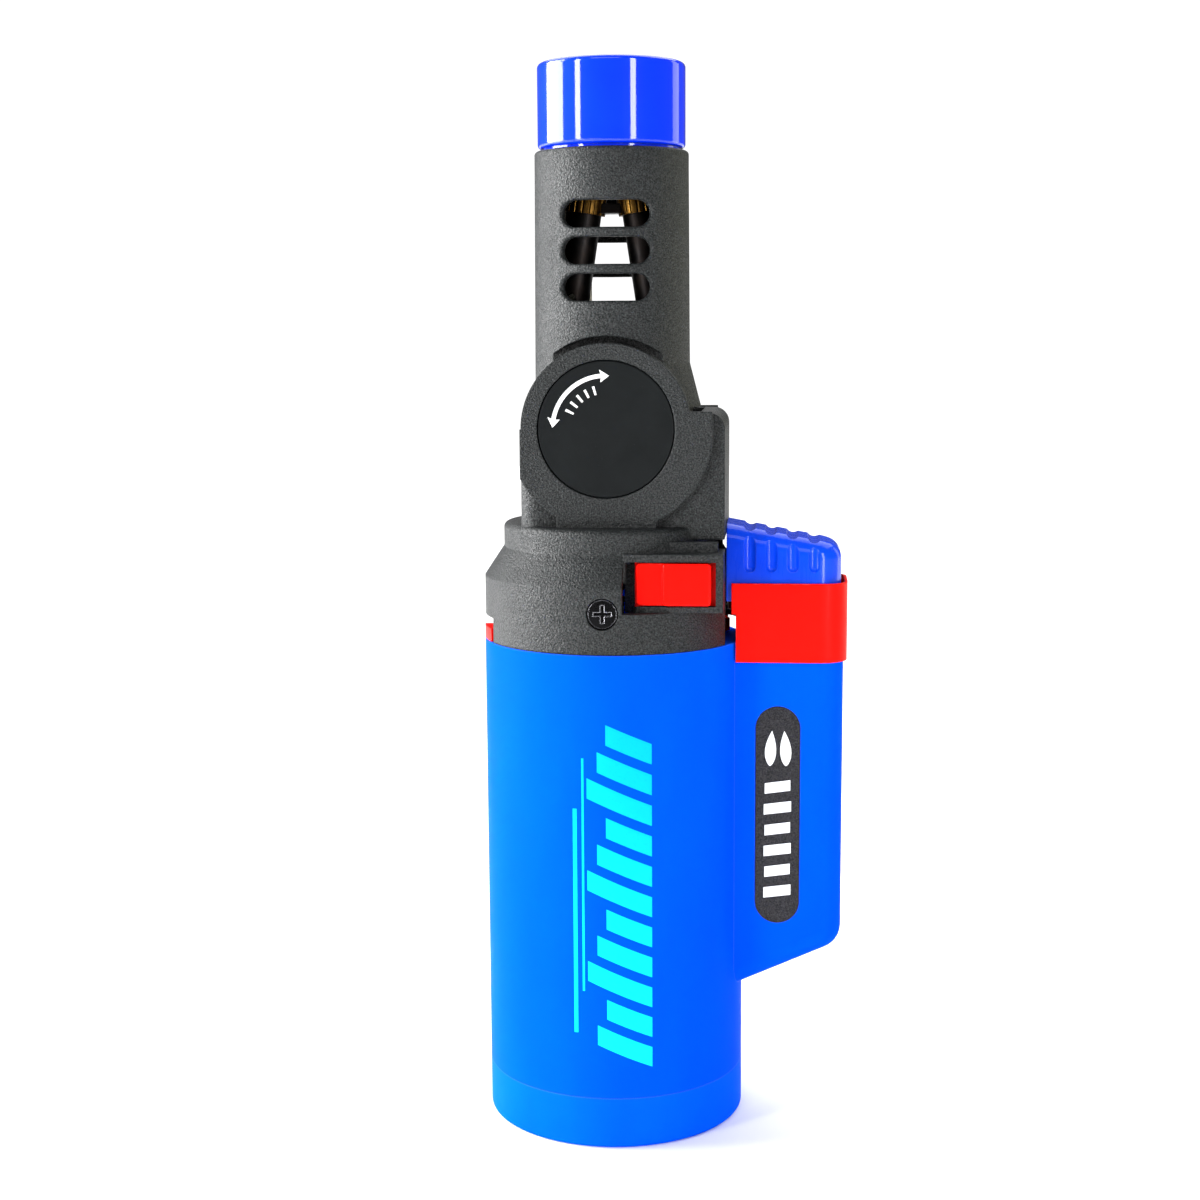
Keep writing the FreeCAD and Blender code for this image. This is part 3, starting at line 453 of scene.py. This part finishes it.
def turn_arrow():
    """Double-headed arc on the pivot disc, which shows that the head turns."""
    centre = (0.0, PIVOT.z / MM)
    radius, half = 7.2, 0.28                    # mm: the arc's middle line and half its width
    begin, end, head = 178.0, 86.0, 10.0        # degrees: the two tips, and how long a head is
    barb, notch, notch_turn = 0.85, 0.1, 1.2    # mm, mm, degrees: the shape of a head
    tick_top, tick_foot, tick_half = 1.2, 2.4, 1.6    # mm below the arc, mm, degrees
    tick_inset, tick_pitch = 20, 12             # degrees: from the arc's end, and tick to tick
    steps, trim = 22, 0.8 * head                # the arc stops short of both tips by the trim
    angles = [begin - trim - (begin - end - 2 * trim) * i / steps for i in range(steps + 1)]
    arc = [polar(centre, radius + half, a) for a in angles]
    arc += [polar(centre, radius - half, a) for a in reversed(angles)]
    outlines = [arc]
    for tip, direction in ((begin, 1), (end, -1)):
        root = tip - direction * head
        outlines.append([polar(centre, radius, tip), polar(centre, radius + barb, root),
                         polar(centre, radius + notch, root + direction * notch_turn),
                         polar(centre, radius - notch, root + direction * notch_turn),
                         polar(centre, radius - barb, root)])
    ticks = []
    for a in range(int(end) + tick_inset, int(begin) - tick_pitch, tick_pitch):
        ticks.append([polar(centre, radius - tick_top, a - tick_half),
                      polar(centre, radius - tick_foot, a - tick_half),
                      polar(centre, radius - tick_foot, a + tick_half),
                      polar(centre, radius - tick_top, a + tick_half)])
    face_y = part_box("pivot_cover_front")[0].y / MM
    printed("turn_arrow", outlines + ticks, face_y, "torch")


def flame(x, z, height, width, lean=0.0):
    """Teardrop flame outline with its tip up."""
    points, steps = [], 24
    for i in range(steps):
        t = 2 * math.pi * i / steps
        up = (1 - math.cos(t)) / 2
        side = math.sin(t) * (1 - up) ** 0.55 * (0.4 + 0.9 * up ** 0.35)
        points.append((x + width * side / 1.5 + lean * up * up, z + height * up))
    return points


def label_marks():
    """Two flames over a row of level bars, in the fin's inlay."""
    inlay_low, inlay_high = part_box("fin_label")
    x = (inlay_low.x + inlay_high.x) / 2 / MM
    z = inlay_low.z / MM
    flame_foot, flame_height, flame_width, flame_lean = z + 22.6, 5.0, 1.5, 0.25
    marks = [flame(x - 1.05, flame_foot, flame_height, flame_width, flame_lean),
             flame(x + 1.15, flame_foot, flame_height, flame_width, -flame_lean)]
    bar_count, bar_foot, bar_pitch, bar_height, skew = 6, 3.6, 3.0, 1.5, 0.5
    for i in range(bar_count):
        half, base = 1.9 - 0.12 * (i % 2), z + bar_foot + bar_pitch * i
        marks.append([(x - half, base), (x + half, base + skew), (x + half, base + skew + bar_height),
                      (x - half, base + bar_height)])
    printed("label_marks", marks, inlay_low.y / MM, "torch")


def tube(name, route_mm, radius_mm, surface):
    """A mesh tube along a smooth curve that has the route's points as control points."""
    data = bpy.data.curves.new(name, "CURVE")
    data.dimensions = "3D"
    spline = data.splines.new("NURBS")
    spline.points.add(len(route_mm) - 1)
    for point, (x, y, z) in zip(spline.points, route_mm):
        point.co = (x * MM, y * MM, z * MM, 1.0)
    spline.order_u = 3
    spline.use_endpoint_u = True
    data.resolution_u = 10
    data.bevel_depth = radius_mm * MM
    data.bevel_resolution = 6
    data.use_fill_caps = True
    source = bpy.data.objects.new(name + "_route", data)
    bpy.context.scene.collection.objects.link(source)
    bpy.context.view_layer.update()
    mesh = bpy.data.meshes.new_from_object(source.evaluated_get(bpy.context.evaluated_depsgraph_get()))
    bpy.data.objects.remove(source)
    piece = bpy.data.objects.new(name, mesh)
    bpy.context.scene.collection.objects.link(piece)
    for polygon in mesh.polygons:
        polygon.use_smooth = True
    dress(piece, surface)
    return piece


def lines():
    """Gas hose and ignition lead: both bend where they cross the pivot."""
    hose = tube("gas_hose_bending", [(0, 0, 75.8), (0, 0, 83.2), (1.2, -0.9, 90.2), (0.9, 0.7, 97.4),
                                     (0, 0, 103.0), (0, 0, 108.5)],
                radius_mm=1.9, surface=SURFACES["hose_rubber"])
    lead = tube("ignition_lead_bending",
                [(20.75, 1.2, 56.2), (20.75, 1.5, 62.4), (20.6, 2.2, 68.4), (18.8, 3.5, 71.5),
                 (14.0, 4.7, 72.1), (9.0, 6.6, 73.8), (5.6, 8.8, 76.6), (0.8, 7.5, 79.6),
                 (-3.2, 4.4, 82.6), (-4.5, 4.0, 88.5), (-4.7, 4.2, 95.0), (-4.6, 4.3, 101.5),
                 (-4.4, 4.5, 108.0), (-4.4, 4.6, 114.0)],
                radius_mm=0.45, surface=SURFACES["lead_jacket"])
    for piece, node_name in ((hose, "gas_hose"), (lead, "ignition_lead")):
        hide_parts(node_name)
        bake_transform(piece)


WIRE_SIDES = 10
STEPS_PER_TURN = 28
CLOSED_ENDS = 0.11      # how far the turns crowd towards both ends


def coil_spring(name, node_name, foot_mm, length_mm, radius_mm, wire_mm, turns):
    """A closed-end compression spring, built at the given length."""
    sides = WIRE_SIDES
    total = int(turns * STEPS_PER_TURN)
    rise = length_mm - 2 * wire_mm
    verts, faces = [], []
    for i in range(total + 1):
        t = i / total
        angle = 2 * math.pi * turns * t
        ease = t - CLOSED_ENDS * math.sin(4 * math.pi * t) / (2 * math.pi)
        centre = Vector((radius_mm * math.cos(angle), radius_mm * math.sin(angle),
                         foot_mm[2] + wire_mm + rise * ease))
        out = Vector((math.cos(angle), math.sin(angle), 0))
        for j in range(sides):
            turn = 2 * math.pi * j / sides
            point = centre + wire_mm * (math.cos(turn) * out + math.sin(turn) * Vector((0, 0, 1)))
            verts.append((foot_mm[0] + point.x, foot_mm[1] + point.y, point.z))
    for i in range(total):
        for j in range(sides):
            k = (j + 1) % sides
            faces.append([i * sides + j, i * sides + k, (i + 1) * sides + k, (i + 1) * sides + j])
    faces.append(list(range(sides)))
    faces.append([total * sides + j for j in reversed(range(sides))])
    piece = mesh_piece(name, verts, faces, SURFACES["spring_steel"], "torch", smooth=True)
    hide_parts(node_name)
    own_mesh(piece)


turn_arrow()
label_marks()
lines()
coil_spring("trigger_return_spring", "trigger_spring", foot_mm=(25.5, 0, 56.0),
            length_mm=6.0, radius_mm=1.2, wire_mm=0.2, turns=6)
coil_spring("outlet_return_spring", "outlet_valve_spring", foot_mm=(0, 0, 64.86),
            length_mm=3.6, radius_mm=1.85, wire_mm=0.2, turns=4)
coil_spring("fill_return_spring", "fill_valve_spring", foot_mm=(0, 0, 5.0),
            length_mm=3.7, radius_mm=1.5, wire_mm=0.2, turns=4)


# ---------------------------------------------------------------- floor, light, camera

def floor():
    side, front, back = 0.9, -0.6, 1.3
    data = bpy.data.meshes.new("floor")
    data.from_pydata([(-side, front, 0), (side, front, 0), (side, back, 0), (-side, back, 0)], [],
                     [(0, 1, 2, 3)])
    ground = bpy.data.objects.new("floor", data)
    bpy.context.scene.collection.objects.link(ground)
    s = Surface("pale_floor", "floor", (0.93, 0.93, 0.93), 0.7, Specular_IOR_Level=0.1)
    s.feed(s.blend(s.noise(6.0, 2.0), (0.92, 0.92, 0.92), (0.95, 0.95, 0.95)), "Base Color")
    data.materials.append(s.material)


def softbox(name, spot, target, width, height, power, color=(1, 1, 1)):
    data = bpy.data.lights.new(name, "AREA")
    data.shape = "RECTANGLE"
    data.size, data.size_y = width, height
    data.energy = power
    data.color = color
    lamp = bpy.data.objects.new(name, data)
    lamp.location = spot
    aim = Vector(target) - Vector(spot)
    lamp.rotation_euler = aim.to_track_quat("-Z", "Y").to_euler()
    bpy.context.scene.collection.objects.link(lamp)


def sky(seen, cast):
    """A white background that lights the scene more gently than it looks."""
    world = bpy.data.worlds.new("studio")
    bpy.context.scene.world = world
    world.use_nodes = True
    tree = world.node_tree
    back = tree.nodes["Background"]
    back.inputs["Color"].default_value = (1, 1, 1, 1)
    back.inputs["Strength"].default_value = cast
    bright = tree.nodes.new("ShaderNodeBackground")
    bright.inputs["Color"].default_value = (1, 1, 1, 1)
    bright.inputs["Strength"].default_value = seen
    path = tree.nodes.new("ShaderNodeLightPath")
    mix = tree.nodes.new("ShaderNodeMixShader")
    tree.links.new(path.outputs["Is Camera Ray"], mix.inputs[0])
    tree.links.new(back.outputs[0], mix.inputs[1])
    tree.links.new(bright.outputs[0], mix.inputs[2])
    tree.links.new(mix.outputs[0], tree.nodes["World Output"].inputs["Surface"])


CAMERA_SPOT = (0.02399, -0.26987, 0.11230)
CAMERA_SIDE = 5.5       # degrees that the torch is turned away from the camera
CAMERA_DOWN = 8.05      # degrees that the camera looks down
CAMERA_ROLL = -0.0063   # radians


def camera():
    data = bpy.data.cameras.new("view")
    data.lens = 57.73
    data.sensor_width = 36.0
    data.clip_start = 0.01
    view = bpy.data.objects.new("view", data)
    bpy.context.scene.collection.objects.link(view)
    view.matrix_world = (Matrix.Translation(CAMERA_SPOT)
                         @ Matrix.Rotation(math.radians(CAMERA_SIDE), 4, "Z")
                         @ Matrix.Rotation(math.pi / 2 - math.radians(CAMERA_DOWN), 4, "X")
                         @ Matrix.Rotation(CAMERA_ROLL, 4, "Z"))
    bpy.context.scene.camera = view


def ring_spot(degrees, distance, height):
    """A place round the torch: 0 is towards the camera, negative is to its left."""
    angle = math.radians(degrees + CAMERA_SIDE)
    return distance * math.sin(angle), -distance * math.cos(angle), height


floor()
sky(1.1, 0.12)
softbox("key_left", ring_spot(-99, 0.5, 0.15), (0, 0, 0.085), 0.34, 0.6, 11.5)
softbox("strip_left", ring_spot(-53, 0.55, 0.17), (0, 0, 0.12), 0.08, 0.42, 2.4)
softbox("strip_right", ring_spot(33, 0.55, 0.17), (0, 0, 0.12), 0.08, 0.42, 1.9)
softbox("rim_right", ring_spot(118, 0.5, 0.12), (0, 0, 0.085), 0.16, 0.5, 0.6, (1.0, 0.98, 0.72))
softbox("front_fill", ring_spot(-10, 0.7, 0.6), (0, 0, 0.07), 0.6, 0.3, 1.9)
softbox("roof", (0, 1.3, 1.9), (0, 1.1, 0), 3.6, 2.6, 95.0)
camera()
bpy.context.scene.view_settings.view_transform = "Standard"
